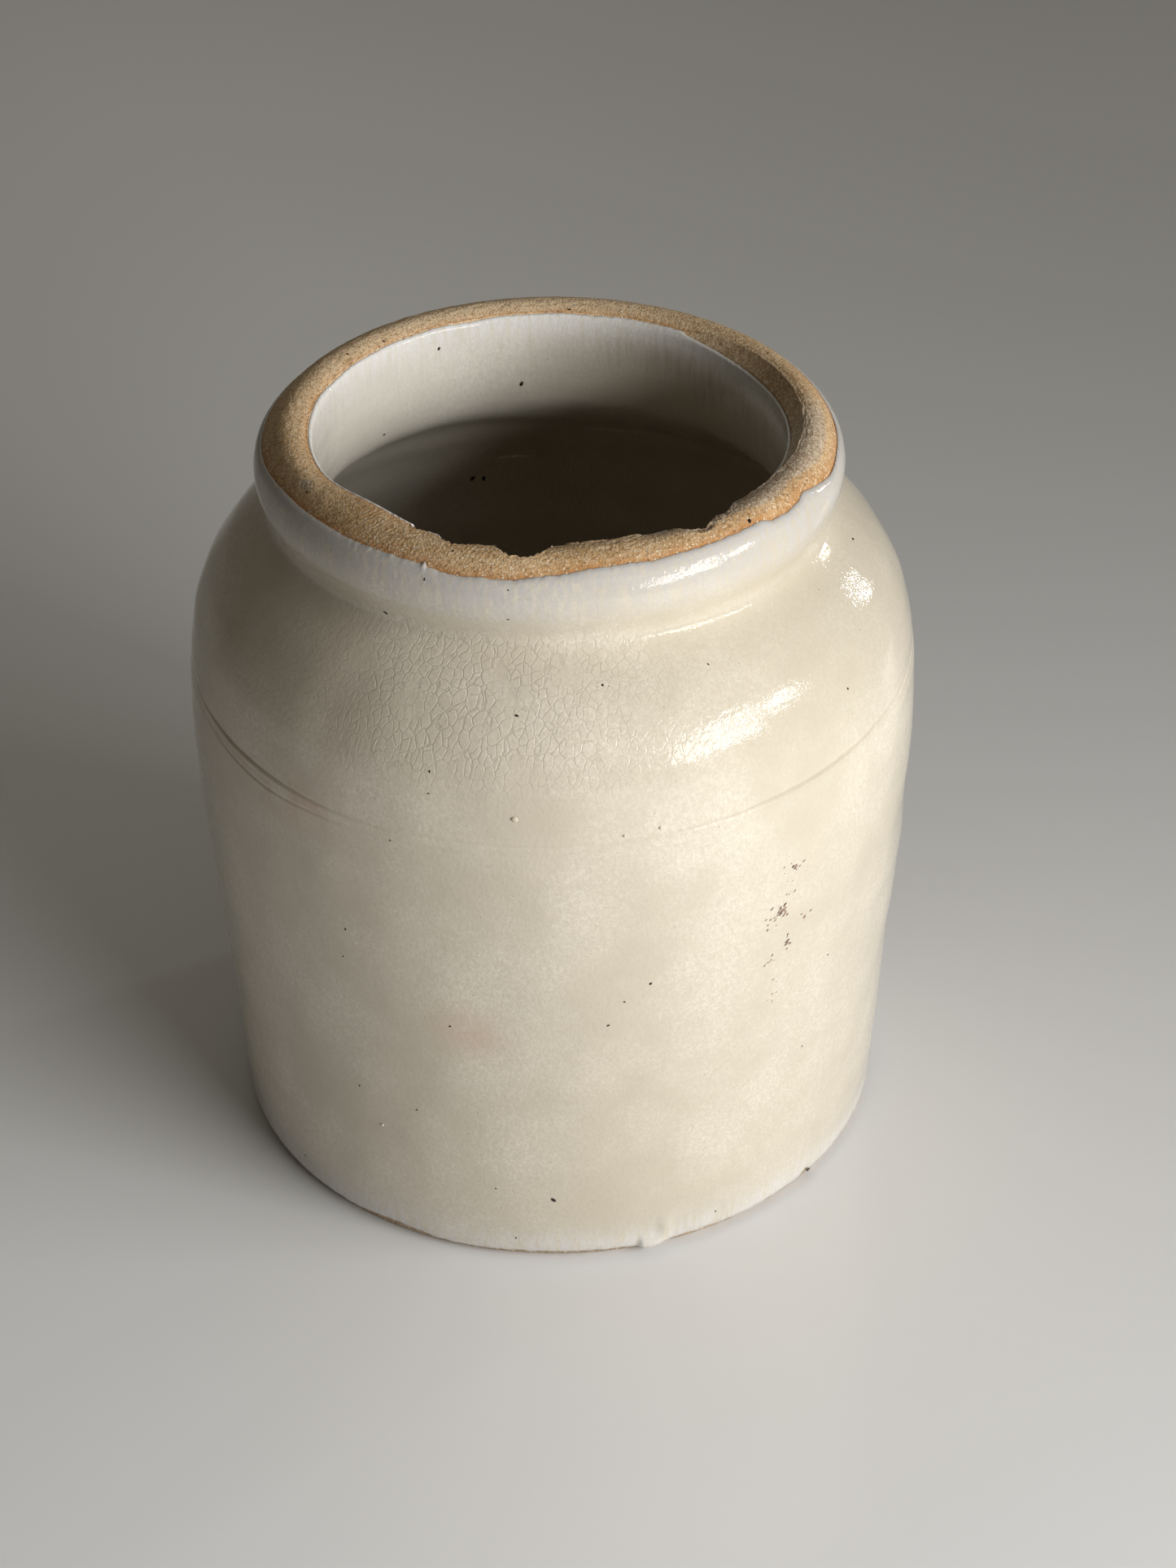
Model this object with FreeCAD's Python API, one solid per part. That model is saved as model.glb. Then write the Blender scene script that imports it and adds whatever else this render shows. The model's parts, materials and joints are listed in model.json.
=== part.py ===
import FreeCAD, Part
import math
import os

# Stoneware crock: a thrown clay body with a glaze coat outside and a liner glaze inside.
# Millimetres. The axis of the pot is +Z, the foot stands on Z = 0 and the chipped lip faces -Y.

# Driving dimensions of the clay
HEIGHT = 170.0
FOOT_RADIUS = 72.3
FOOT_EDGE = 1.6
BELLY_RADIUS = 79.0
BELLY_HEIGHT = 104.0
GROOVE_RADIUS = 59.1
GROOVE_HEIGHT = 152.4
BEAD_RADIUS = 62.0
BEAD_HEIGHT = 161.4
CROWN_RADIUS = 55.0
NECK_RADIUS = 50.1
NECK_LAND = (149.0, 164.0)
WALL = 7.8
WALL_BOW = 0.5
INNER_RADIUS = BELLY_RADIUS - WALL
FLOOR = 9.0
HEEL_RADIUS = 66.0
HEEL_CURVE = 12.0
HEEL_HEIGHT = FLOOR + HEEL_CURVE
FLOOR_RADIUS = HEEL_RADIUS - HEEL_CURVE

# Driving dimensions of the glaze
GLAZE = 0.5
GLAZE_FOOT_LINE = 3.2
RIM_GLAZE_RADIUS = 59.4
RIM_GLAZE_HEIGHT = 167.4
LINER_LIP_RADIUS = 50.7
LINER_LIP_HEIGHT = 168.6
OFFSET_SAMPLES = 16

# Two lines scored round the shoulder while the clay was wet
SCORE_HEIGHTS = (113.6, 116.4)
SCORE_DEPTH = 0.35
SCORE_WIDTH = 1.3

# Scoops broken out of the inner edge of the lip: azimuth from -Y towards +X, ball radius, bite
LIP_CHIPS = (
    (-23.0, 9.0, 2.2),
    (-10.0, 10.0, 3.3),
    (2.0, 8.0, 1.9),
    (17.0, 10.0, 1.6),
    (31.0, 11.0, 3.4),
    (45.0, 12.0, 3.8),
    (58.0, 9.0, 2.0),
)
CHIP_SLOPE = 42.0

AXIS = FreeCAD.Vector(0, 0, 1)
ORIGIN = FreeCAD.Vector(0, 0, 0)
UP = FreeCAD.Vector(0, 0, 1)
INWARD = FreeCAD.Vector(-1, 0, 0)


def at(radius, height):
    """A point of the half section, which lies in the XZ plane."""
    return FreeCAD.Vector(radius, 0, height)


def spline(points, start, end):
    """A smooth curve through the points, with the given directions at its two ends."""
    curve = Part.BSplineCurve()
    curve.interpolate(Points=points, InitialTangent=start, FinalTangent=end)
    return curve


def stretch(curve, first, last):
    """The edge of a curve from one of its own points to another."""
    return Part.Edge(curve, curve.parameter(first), curve.parameter(last))


def arc(start, middle, end):
    """A circular arc through three points, as a curve."""
    return Part.Arc(start, middle, end)


def wall_curve():
    """Outside of the wall, which leans out a little from the foot line to the belly."""
    start = at(FOOT_RADIUS + 0.2, GLAZE_FOOT_LINE)
    middle = at((FOOT_RADIUS + BELLY_RADIUS) / 2 + WALL_BOW, BELLY_HEIGHT / 2)
    end = at(BELLY_RADIUS, BELLY_HEIGHT)
    return arc(start, middle, end), [start, end]


def shoulder_curve():
    """Outside from the belly over the shoulder, the neck groove and the bead to the crown."""
    points = [
        at(BELLY_RADIUS, BELLY_HEIGHT),
        at(BELLY_RADIUS - 0.9, HEIGHT - 51.0),
        at(BELLY_RADIUS - 2.9, HEIGHT - 40.8),
        at(BELLY_RADIUS - 5.9, HEIGHT - 34.0),
        at(BELLY_RADIUS - 11.2, HEIGHT - 27.0),
        at(GROOVE_RADIUS + 3.1, HEIGHT - 22.0),
        at(GROOVE_RADIUS, GROOVE_HEIGHT),
        at(BEAD_RADIUS - 1.2, BEAD_HEIGHT - 4.6),
        at(BEAD_RADIUS, BEAD_HEIGHT),
        at(RIM_GLAZE_RADIUS, RIM_GLAZE_HEIGHT),
        at(CROWN_RADIUS, HEIGHT),
    ]
    return spline(points, UP, INWARD), points


def lip_curve():
    """Inner half of the rim, from the crown down to the top of the neck's round land."""
    points = [
        at(CROWN_RADIUS, HEIGHT),
        at(LINER_LIP_RADIUS, LINER_LIP_HEIGHT),
        at(NECK_RADIUS, NECK_LAND[1]),
    ]
    return spline(points, INWARD, -UP), points


def flare_curve():
    """Inside from the neck's land, out under the shoulder, to the inner wall."""
    points = [
        at(NECK_RADIUS, NECK_LAND[0]),
        at(NECK_RADIUS + 4.4, HEIGHT - 27.4),
        at(NECK_RADIUS + 10.7, HEIGHT - 33.0),
        at(NECK_RADIUS + 16.4, HEIGHT - 40.5),
        at(INNER_RADIUS - 1.2, HEIGHT - 50.0),
        at(INNER_RADIUS, BELLY_HEIGHT + 7.0),
    ]
    return spline(points, -UP, -UP), points


def inner_wall_curve():
    """Inside of the wall, down to where the floor's curve begins."""
    start = at(INNER_RADIUS, BELLY_HEIGHT + 7.0)
    middle = at((INNER_RADIUS + HEEL_RADIUS) / 2 + WALL_BOW, (BELLY_HEIGHT + 7.0 + HEEL_HEIGHT) / 2)
    end = at(HEEL_RADIUS, HEEL_HEIGHT)
    return arc(start, middle, end), [start, end]


def heel_curve():
    """Rounded corner between the inner wall and the floor."""
    start = at(HEEL_RADIUS, HEEL_HEIGHT)
    end = at(FLOOR_RADIUS, FLOOR)
    corner = HEEL_CURVE * (1 - math.sqrt(0.5))
    return arc(start, at(HEEL_RADIUS - corner, FLOOR + corner), end), [start, end]


def shifted(stretches):
    """A run of curve stretches, moved out of the clay by the glaze's thickness, as one edge."""
    points = []
    for curve, first, last in stretches:
        low = curve.parameter(first)
        high = curve.parameter(last)
        for step in range(1 if points else 0, OFFSET_SAMPLES + 1):
            place = low + (high - low) * step / OFFSET_SAMPLES
            along = curve.tangent(place)[0]
            outward = FreeCAD.Vector(along.z, 0, -along.x)
            points.append(curve.value(place) + outward * GLAZE)
    surface = Part.BSplineCurve()
    surface.interpolate(points)
    return surface.toShape()


def end_points(edge):
    """Where an edge starts and where it ends, along its own direction."""
    return edge.valueAt(edge.FirstParameter), edge.valueAt(edge.LastParameter)


def turned(edges):
    """Solid swept once round the axis by the face that the edges enclose."""
    face = Part.Face(Part.Wire(Part.__sortEdges__(edges)))
    return face.revolve(ORIGIN, AXIS, 360)


def coat(shared, outer):
    """Glaze between the clay's own edges and the free surface edges, closed at both ends."""
    clay_start = end_points(shared[0])[0]
    clay_end = end_points(shared[-1])[1]
    free_start = end_points(outer[0])[0]
    free_end = end_points(outer[-1])[1]
    ends = [Part.makeLine(clay_start, free_start), Part.makeLine(clay_end, free_end)]
    return turned(shared + outer + ends)


def clay_edges():
    """The clay's outline, cut where each glaze coat starts and stops."""
    wall, wall_points = wall_curve()
    shoulder, shoulder_points = shoulder_curve()
    lip, lip_points = lip_curve()
    rim_line = shoulder_points[-2]
    lip_line = lip_points[1]
    corner = FOOT_EDGE * (1 - math.sqrt(0.5))
    foot_start = at(FOOT_RADIUS - FOOT_EDGE, 0)
    foot_end = at(FOOT_RADIUS, FOOT_EDGE)
    bare = [
        Part.makeLine(at(0, FLOOR), at(0, 0)),
        Part.makeLine(at(0, 0), foot_start),
        arc(foot_start, at(FOOT_RADIUS - corner, corner), foot_end).toShape(),
        Part.makeLine(foot_end, wall_points[0]),
        stretch(shoulder, rim_line, shoulder_points[-1]),
        stretch(lip, lip_points[0], lip_line),
    ]
    outside = [wall.toShape(), stretch(shoulder, shoulder_points[0], rim_line)]
    inside = [
        stretch(lip, lip_line, lip_points[-1]),
        Part.makeLine(at(NECK_RADIUS, NECK_LAND[1]), at(NECK_RADIUS, NECK_LAND[0])),
        flare_curve()[0].toShape(),
        inner_wall_curve()[0].toShape(),
        heel_curve()[0].toShape(),
        Part.makeLine(at(FLOOR_RADIUS, FLOOR), at(0, FLOOR)),
    ]
    return bare, outside, inside


def outer_coat(outside):
    """Glaze from just above the foot to the outer shoulder of the rim."""
    wall, wall_points = wall_curve()
    shoulder, shoulder_points = shoulder_curve()
    wall_stretch = (wall, wall_points[0], wall_points[-1])
    shoulder_stretch = (shoulder, shoulder_points[0], shoulder_points[-2])
    return coat(outside, [shifted([wall_stretch, shoulder_stretch])])


def liner_coat(inside):
    """Glaze from the lip down the neck and over the whole inside."""
    lip, lip_points = lip_curve()
    radius = NECK_RADIUS - GLAZE
    cavity = (flare_curve(), inner_wall_curve(), heel_curve())
    free = [
        shifted([(lip, lip_points[1], lip_points[-1])]),
        Part.makeLine(at(radius, NECK_LAND[1]), at(radius, NECK_LAND[0])),
        shifted([(curve, points[0], points[-1]) for curve, points in cavity]),
        Part.makeLine(at(FLOOR_RADIUS, FLOOR + GLAZE), at(0, FLOOR + GLAZE)),
    ]
    return coat(inside, free)


def shoulder_radius(height):
    """Radius of the clay's outside at a height on the shoulder."""
    shoulder, points = shoulder_curve()
    level = Part.makeLine(at(BEAD_RADIUS, height), at(BELLY_RADIUS + WALL, height))
    distance, closest, kinds = shoulder.toShape().distToShape(level)
    return closest[0][0].x


def score_ring(height):
    """V-shaped ring that a pointed stick leaves round the shoulder, as the glaze fills it."""
    radius = shoulder_radius(height) + GLAZE
    tip = at(radius - SCORE_DEPTH, height)
    low = at(radius + SCORE_DEPTH, height - SCORE_WIDTH)
    high = at(radius + SCORE_DEPTH, height + SCORE_WIDTH)
    return turned(Part.makePolygon([tip, high, low, tip]).Edges)


def lip_chip(azimuth, ball, bite):
    """Ball that bites into the lip's inner corner at an azimuth."""
    slope = math.radians(CHIP_SLOPE)
    reach = ball - bite
    radius = LINER_LIP_RADIUS - reach * math.cos(slope)
    height = LINER_LIP_HEIGHT + reach * math.sin(slope)
    turn = math.radians(azimuth)
    centre = FreeCAD.Vector(radius * math.sin(turn), -radius * math.cos(turn), height)
    return Part.makeSphere(ball, centre)


def build():
    """All nodes of the pot, by name."""
    bare, outside, inside = clay_edges()
    clay = turned(bare + outside + inside)
    outer = outer_coat(outside)
    liner = liner_coat(inside)
    scores = [score_ring(height) for height in SCORE_HEIGHTS]
    chips = [lip_chip(*chip) for chip in LIP_CHIPS]
    return {
        "clay_body": clay.cut(chips),
        "outer_glaze": outer.cut(scores),
        "liner_glaze": liner.cut(chips),
    }


os.makedirs("parts", exist_ok=True)
for name, shape in build().items():
    shape.exportStep("parts/" + name + ".step")
    solids = shape.Solids
    box = shape.BoundBox
    print(name, "solids", len(solids), "valid", shape.isValid(), "volume", round(shape.Volume / 1000, 2))
    print("  box", round(box.XLength, 2), round(box.YLength, 2), round(box.ZMin, 2), round(box.ZMax, 2))
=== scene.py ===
import json
import math

import bmesh
import bpy
import numpy as np
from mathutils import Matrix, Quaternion, Vector


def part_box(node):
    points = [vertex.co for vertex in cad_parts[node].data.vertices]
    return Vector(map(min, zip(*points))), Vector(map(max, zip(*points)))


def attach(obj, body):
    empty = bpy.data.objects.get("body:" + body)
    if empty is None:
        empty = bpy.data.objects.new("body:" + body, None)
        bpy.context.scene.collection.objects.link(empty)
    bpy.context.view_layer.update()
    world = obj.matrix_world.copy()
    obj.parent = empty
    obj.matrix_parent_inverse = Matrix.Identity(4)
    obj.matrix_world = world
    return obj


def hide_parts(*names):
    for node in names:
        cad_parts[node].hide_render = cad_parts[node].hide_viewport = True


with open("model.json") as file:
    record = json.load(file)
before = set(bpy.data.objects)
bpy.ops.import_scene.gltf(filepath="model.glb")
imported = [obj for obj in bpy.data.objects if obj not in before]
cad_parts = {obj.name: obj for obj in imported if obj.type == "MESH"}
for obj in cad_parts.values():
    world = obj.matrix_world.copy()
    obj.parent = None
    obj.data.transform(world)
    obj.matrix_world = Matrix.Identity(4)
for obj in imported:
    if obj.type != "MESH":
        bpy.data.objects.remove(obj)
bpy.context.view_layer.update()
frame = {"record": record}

# A stoneware crock: bare sandy clay at the rim, in the broken lip and at the foot, and two glaze
# coats. Shapes are worked out in millimetres on the half section, then turned round the axis.
# Azimuths are in degrees from -Y, where the lip is broken, towards +X.

MM = 0.001
clay_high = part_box("clay_body")[1]
glaze_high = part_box("outer_glaze")[1]
mouth = next(mount for mount in frame["record"]["mounts"] if mount["name"] == "mouth")

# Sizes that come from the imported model
HEIGHT = clay_high.z / MM
BELLY = clay_high.x / MM
GLAZE = (glaze_high.x - clay_high.x) / MM
NECK = mouth["dims"]["r_mm"] + GLAZE

# Shape of the pot
FOOT = BELLY - 6.8
FOOT_EDGE = 1.6
UNDERCUT = 0.5
GROOVE = BELLY - 19.85
GROOVE_HEIGHT = HEIGHT - 17.7
BEAD = BELLY - 17.0
BEAD_HEIGHT = HEIGHT - 8.5
RIM_LINE = (BEAD - 2.6, HEIGHT - 2.5)
LIP_LINE = (NECK + 0.6, HEIGHT - 1.4)
INNER = BELLY - 7.8
FLOOR = 9.0
HEEL = INNER - 4.8

# Azimuth divisions, closer together over the broken lip
DIVISIONS = 600
BROKEN_SIDE = (-42.0, 68.0)
CLOSER = 2.7

# Pieces broken out of the inner edge of the lip: centre and half width in degrees, how far the
# break reaches out over the crown, how far it runs down the neck, and the shelf's run and drop
SCALLOPS = (
    (-31.5, 2.4, 1.9, 3.0, 0.4, 0.5),
    (-20.5, 6.2, 4.1, 5.0, 0.5, 0.8),
    (-14.8, 4.0, 2.9, 4.5, 0.4, 0.7),
    (-6.2, 7.2, 6.0, 6.5, 0.6, 1.2),
    (12.0, 10.0, 3.6, 2.5, 2.6, 0.25),
    (33.4, 6.0, 6.2, 6.0, 1.8, 0.20),
    (39.0, 9.0, 4.3, 4.0, 1.5, 0.20),
    (96.0, 50.0, 4.2, 2.8, 1.2, 0.12),
)

# Where the lip leans in over the neck, or out: centre and half width in degrees, how far, and
# the centre and half width of the lean down the neck
LIP_LEANS = (
    (12.0, 14.0, 1.2, 1.5, 7.0),
    (100.0, 48.0, -1.1, 5.5, 6.0),
    (-46.0, 23.0, 1.8, 1.5, 7.0),
)

# A grey bruise on the crown: azimuth, how far in from the outer glaze's edge, and its half widths
BRUISE = (-62.5, 4.2)
BRUISE_SIZE = (2.6, 2.4)

# The broken surface: its least reach and run, how far across it the shelf ends, how deep it is
# hollowed, the azimuths between which it turns from sharp to worn, and one sharp chip past them
# by azimuth and half width
LEAST_BREAK = 0.3
BREAK_KNEE = 0.42
BREAK_HOLLOW = 0.7
WORN_FROM = (0.0, 8.0)
# The sharp chip also keeps the break's dark colour, as painted shade in its hollow
SHARP_CHIP = (36.0, 10.0)

# Steps of the outer glaze's upper edge: how far up, and the azimuths where the step starts, is
# whole, starts to fade and is gone
RIM_LINE_STEPS = (
    (1.2, 0, 9, 45, 49),
    (-1.1, -24, -17, -10, 0),
    (-2.0, 61, 74, 84, 125),
    (-1.7, -160, -120, -85, -62),
    (-0.5, -24.6, -24.2, -22, -12),
)

# Bumps of the outer glaze's upper and lower edge: how far up, azimuth and half width
RIM_LINE_BUMPS = ((-0.45, 20.0, 6.0), (-0.3, 53.0, 5.0), (0.7, 60.5, 4.0), (0.8, -24.9, 0.5))
FOOT_LINE_BUMPS = ((1.2, -31.0, 11.0), (1.3, 49.0, 1.7), (-0.3, 15.0, 4.0))

# Shape of the turned wall: how far it is from round, and its dents and lumps: how far out,
# azimuth, height, and the half widths along each
OVAL = 0.35
OVAL_TURN = 50
WALL_BUMPS = ((-0.55, 88.0, 84.0, 26.0, 14.0), (0.35, 90.0, 62.0, 24.0, 16.0))

# Throwing lines outside, on the neck and inside, and the coil on the floor: pitch and depth; and
# the button in the floor's middle: half width and rise
THROWING = (7.5, 0.045)
NECK_LINES = (3.1, 0.06)
INNER_RINGS = (12.0, 0.24)
INNER_NECK_LINES = (4.3, 0.04)
FLOOR_COIL = (9.0, 0.35)
BUTTON = (9.0, 1.1)

# The outer coat near its edges: how far it takes to round off, how deep its edge is buried, the
# roll under its upper edge and the pool over its lower edge, each with its place and width
EDGE_ROUND = 1.3
EDGE_BURIED = 0.06
ROLL = 0.10
ROLL_PLACE = (2.2, 1.2)
POOL = 0.25
POOL_PLACE = (2.0, 2.2)

# Drips at the foot: how far out, azimuths where it rises and falls, height and half height; and
# a smaller one, with its azimuth and half width
DRIP = 1.3
DRIP_SPAN = (13.0, 13.9, 15.8, 19.6)
DRIP_HEIGHT = (2.0, 3.2)
SMALL_DRIP = 0.45
SMALL_DRIP_SPAN = (18.0, 2.0)
SMALL_DRIP_HEIGHT = (6.0, 5.5)

# Score lines round the shoulder: the ring leans, and is cut deeper at some azimuths
SCORE_HEIGHT = 117.9
SCORE_LEAN = 3.6
SCORE_LOWEST = -22.0
SCORE_GAP = 2.3
SCORE_WIDTHS = (0.34, 0.40)
SCORE_DEEPEST = 0.31

# Two short ridges under the score line: azimuth, and how far below it
SHORT_RIDGES = ((18.5, 2.6), (22.0, 4.6))
RIDGE_WIDTH = 0.35

FULL_TURN = 360.0

# Tilt of the crazing seen from the front
CRAZE_TILT = -14

# Lights and floor, in metres: the window's panes (y near, y far, z low, z high) on the +X side,
# those that the glaze mirrors, a small window on the pot's right and behind it (panes: across,
# up), weak light from the back and from above, and the room
WINDOW_SIDE = 0.55
WINDOW_PANES = ((-0.088, -0.27, 0.24, 0.36), (-0.29, -1.13, 0.205, 0.345), (-0.29, -1.13, 0.36, 0.52))
WINDOW_GLOW = 41.0
SHINE_PANES = ((-0.14, -0.25, 0.25, 0.31), (-0.29, -0.85, 0.225, 0.283), (-0.29, -0.80, 0.312, 0.375))
SHINE_GLOW = 30.0
WINDOW_AIM = 0.13
SIDE_AZIMUTH = 123.0
SIDE_RISE = 10.0
SIDE_DISTANCE = 1.2
SIDE_PANES = ((0.015, 0.085), (-0.02, 0.0), (0.02, -0.075))
SIDE_SIZE = (0.035, 0.05)
SIDE_POWER = 0.2
BACK_PLACE = (0.0, 1.63, 0.76)
BACK_SIZE = (1.5, 0.8)
BACK_POWER = 1.3
TOP_PLACE = (0.0, 0.0, 1.5)
TOP_SIZE = (1.5, 1.5)
TOP_POWER = 1.1
DAYLIGHT = (1.0, 0.985, 0.96)
ROOM_COLOUR = (1.0, 0.90, 0.72)
FILL_COLOUR = (1.0, 0.95, 0.84)
ROOM_GLOW = 0.05
# The floor's colour runs from lighter at the left to darker at the right: painted light and shade
FLOOR_LEFT_PAINTED_LIGHT = (0.95, 0.955, 0.965)
FLOOR_RIGHT_PAINTED_SHADE = (0.76, 0.765, 0.775)
FLOOR_SIZE = 8.0
FLOOR_ROUGHNESS = 0.22

# Camera: place, angles in degrees, and lens on a 36 mm wide sensor
CAMERA_PLACE = (0.0, -0.6455, 0.5234)
CAMERA_PITCH = 34.70
CAMERA_YAW = 0.66
CAMERA_ROLL = -0.58
CAMERA_LENS = 80.07
SENSOR = 36.0

# Colours of the bare clay: two for each layer that varies
TAN = ((0.60, 0.385, 0.185), (0.74, 0.51, 0.28))
SANDY = (0.78, 0.59, 0.38)
# Painted light: paler clay towards the back
PAINTED_LIGHT_CLAY = (0.96, 0.75, 0.50)
WORN_GREY = ((0.50, 0.41, 0.32), (0.70, 0.60, 0.48))
# The break's colour: partly a fresh break's own colour, partly painted shade
FRACTURE_AND_SHADE = ((0.33, 0.255, 0.18), (0.54, 0.44, 0.33))
SCORCHED = (0.53, 0.25, 0.09)
DIMPLES = (0.30, 0.17, 0.075)
QUARTZ = (0.92, 0.80, 0.60)
DARK_GRAIN = (0.17, 0.10, 0.05)
# Pits: near black, painted shade
PIT_SHADE = (0.03, 0.02, 0.012)

# Colours in both glazes
CLOUDED = (0.78, 0.73, 0.63)
# Painted shade over the right of the shoulder
PAINTED_SHOULDER_SHADE = (0.52, 0.465, 0.365)
FOOT_MILK = (0.76, 0.75, 0.745)
CRACK = (0.40, 0.34, 0.26)
HAIRLINE = (0.42, 0.36, 0.27)
SCORED = (0.42, 0.33, 0.24)
PEPPER = (0.18, 0.13, 0.09)

# Colours of the iron specks and of the rust flecks
IRON = ((0.012, 0.010, 0.012), (0.075, 0.045, 0.028))
RUST = ((0.09, 0.055, 0.045), (0.40, 0.27, 0.21))

# Roughness from the dullest to the glossiest grain, and of the glazes; and refractive indices
CLAY_ROUGHNESS = (0.86, 0.35)
GLAZE_ROUGHNESS = (0.02, 0.05)
CLAY_IOR = 1.5
GLAZE_IOR = 1.52

# Sizes of the grains of sand, the pits (darkened with painted shade) and the pepper dots
SAND = 0.5
PIT_SPACING = 3.1
PEPPER_SPACING = 2.2

# Iron specks: azimuth, height or rim radius, and width
OUTER_SPECKS = (
    (-34.0, 153.5, 1.1), (-24.0, 165.0, 0.6), (-8.0, 165.0, 0.45), (-8.0, 159.0, 0.4),
    (-19.0, 130.0, 0.6), (-19.0, 125.5, 0.4), (-6.0, 141.0, 0.7), (8.5, 145.0, 0.45),
    (28.0, 145.0, 0.4), (79.5, 146.0, 0.7), (52.5, 131.0, 0.5), (-25.0, 113.0, 0.4),
    (-34.0, 86.0, 0.5), (-35.0, 78.0, 0.4), (-17.0, 67.0, 0.5), (-35.0, 41.0, 0.5),
    (-24.0, 40.0, 0.5), (-11.0, 21.0, 0.45), (-1.4, 18.5, 1.1), (-8.0, 6.0, 0.5),
    (27.5, 6.0, 0.5), (-52.0, 7.0, 0.5), (48.0, 67.0, 0.45), (14.0, 79.0, 0.6),
    (7.5, 69.0, 0.6), (10.0, 75.0, 0.4), (44.0, 44.0, 0.4), (50.2, 1.3, 1.4),
    (112.0, 92.0, 0.6), (140.0, 48.0, 0.7), (168.0, 120.0, 0.5), (-150.0, 70.0, 0.6),
    (-118.0, 104.0, 0.5), (-96.0, 33.0, 0.6), (178.0, 22.0, 0.8), (-135.0, 136.0, 0.5),
)
RIM_SPECKS = (
    (-125.0, 53.0, 0.7), (-136.0, 51.6, 0.6), (174.5, 51.4, 0.6), (43.4, 57.9, 1.0),
    (-20.0, 56.5, 0.6), (-60.0, 57.0, 0.5), (120.0, 55.0, 0.6),
)
INNER_SPECKS = (
    (-151.0, 164.0, 0.7), (-173.0, 152.0, 1.2), (123.0, 144.0, 0.9), (-165.0, 117.5, 1.5),
    (-167.2, 117.0, 1.3), (-133.0, 148.0, 0.7), (150.0, 60.0, 1.2), (-70.0, 84.0, 1.0),
)
PIMPLES = ((-6.0, 122.0, 1.3), (-31.0, 32.0, 1.0), (10.0, 117.5, 0.8), (15.5, 118.0, 1.0))

# How far each kind of mark stands out of the surface
SPECK_RISE = 0.09
CROWN_SPECK_RISE = 0.10
INNER_SPECK_RISE = 0.10
FLECK_RISE = 0.04
PIMPLE_RISE = 0.38

# A cluster of rust flecks: centre azimuth and height, spread along each, width and how many
RUST_CLUSTERS = (
    (36.7, 87.6, 0.9, 1.1, 0.60, 15),
    (35.0, 85.5, 1.2, 2.0, 0.40, 9),
    (38.0, 78.0, 0.6, 1.5, 0.46, 6),
    (34.8, 74.8, 0.6, 0.8, 0.46, 6),
    (38.6, 98.3, 1.1, 0.9, 0.42, 12),
    (36.5, 66.0, 1.2, 2.4, 0.32, 7),
    (41.5, 83.5, 1.4, 1.0, 0.36, 4),
    (37.0, 92.5, 1.2, 2.0, 0.30, 6),
)


class Outline:
    """A smooth half section through its points, read by distance along it."""

    STEP = 0.05

    def __init__(self, points):
        knots = np.array(points, float)
        spans = np.hypot(*np.diff(knots, axis=0).T)
        where = np.concatenate([[0.0], np.cumsum(spans)])
        bends = self.second_derivatives(where, knots)
        fine = np.arange(0.0, where[-1], self.STEP)
        self.points = self.evaluate(fine, where, knots, bends)
        lengths = np.hypot(*np.diff(self.points, axis=0).T)
        self.along = np.concatenate([[0.0], np.cumsum(lengths)])
        tangent = np.gradient(self.points, self.along, axis=0)
        tangent /= np.hypot(tangent[:, 0], tangent[:, 1])[:, None]
        self.normals = np.stack([tangent[:, 1], -tangent[:, 0]], axis=1)

    @staticmethod
    def second_derivatives(where, knots):
        """Second derivatives of the natural cubic spline through the knots."""
        count = len(where)
        step = np.diff(where)
        matrix = np.eye(count)
        right = np.zeros((count, 2))
        for i in range(1, count - 1):
            matrix[i, i - 1 : i + 2] = step[i - 1], 2 * (step[i - 1] + step[i]), step[i]
            rise = (knots[i + 1] - knots[i]) / step[i] - (knots[i] - knots[i - 1]) / step[i - 1]
            right[i] = 6 * rise
        return np.linalg.solve(matrix, right)

    @staticmethod
    def evaluate(fine, where, knots, bends):
        """Points of the spline at fine steps."""
        i = np.clip(np.searchsorted(where, fine, side="right") - 1, 0, len(where) - 2)
        step = (where[i + 1] - where[i])[:, None]
        a = (where[i + 1][:, None] - fine[:, None]) / step
        b = 1 - a
        curve = (a**3 - a) * bends[i] + (b**3 - b) * bends[i + 1]
        return a * knots[i] + b * knots[i + 1] + curve * step**2 / 6

    def place(self, along, out=0.0):
        """Radius and height at a distance along the outline, moved out of the surface."""
        radius = np.interp(along, self.along, self.points[:, 0])
        height = np.interp(along, self.along, self.points[:, 1])
        out_r = np.interp(along, self.along, self.normals[:, 0])
        out_z = np.interp(along, self.along, self.normals[:, 1])
        return radius + out * out_r, height + out * out_z

    def nearest(self, radius, height, start=0.0):
        """Distance along the outline of the place nearest a point, past a start."""
        gap = np.hypot(self.points[:, 0] - radius, self.points[:, 1] - height)
        gap[self.along < start] = np.inf
        return float(self.along[np.argmin(gap)])


def smooth(value, low, high):
    """0 below low, 1 above high, and a smooth step between."""
    t = np.clip((value - low) / (high - low), 0.0, 1.0)
    return t * t * (3 - 2 * t)


def hill(value, centre, half):
    """A smooth hill of height 1 at a centre, 0 past its half width."""
    return 1 - smooth(np.abs(value - centre), 0.0, half)


def plateau(value, start, whole, fading, gone):
    """Rises from 0 to 1 between the first two values, and falls again between the last two."""
    return smooth(value, start, whole) * (1 - smooth(value, fading, gone))


def swell(value, centre, width):
    """A bell of height 1 at a centre, which falls to 1/e at its width."""
    return np.exp(-(((value - centre) / width) ** 2))


def turned_by(azimuth, centre):
    """Signed degrees from a centre azimuth, the short way round."""
    half = FULL_TURN / 2
    return (azimuth - centre + half) % FULL_TURN - half


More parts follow.
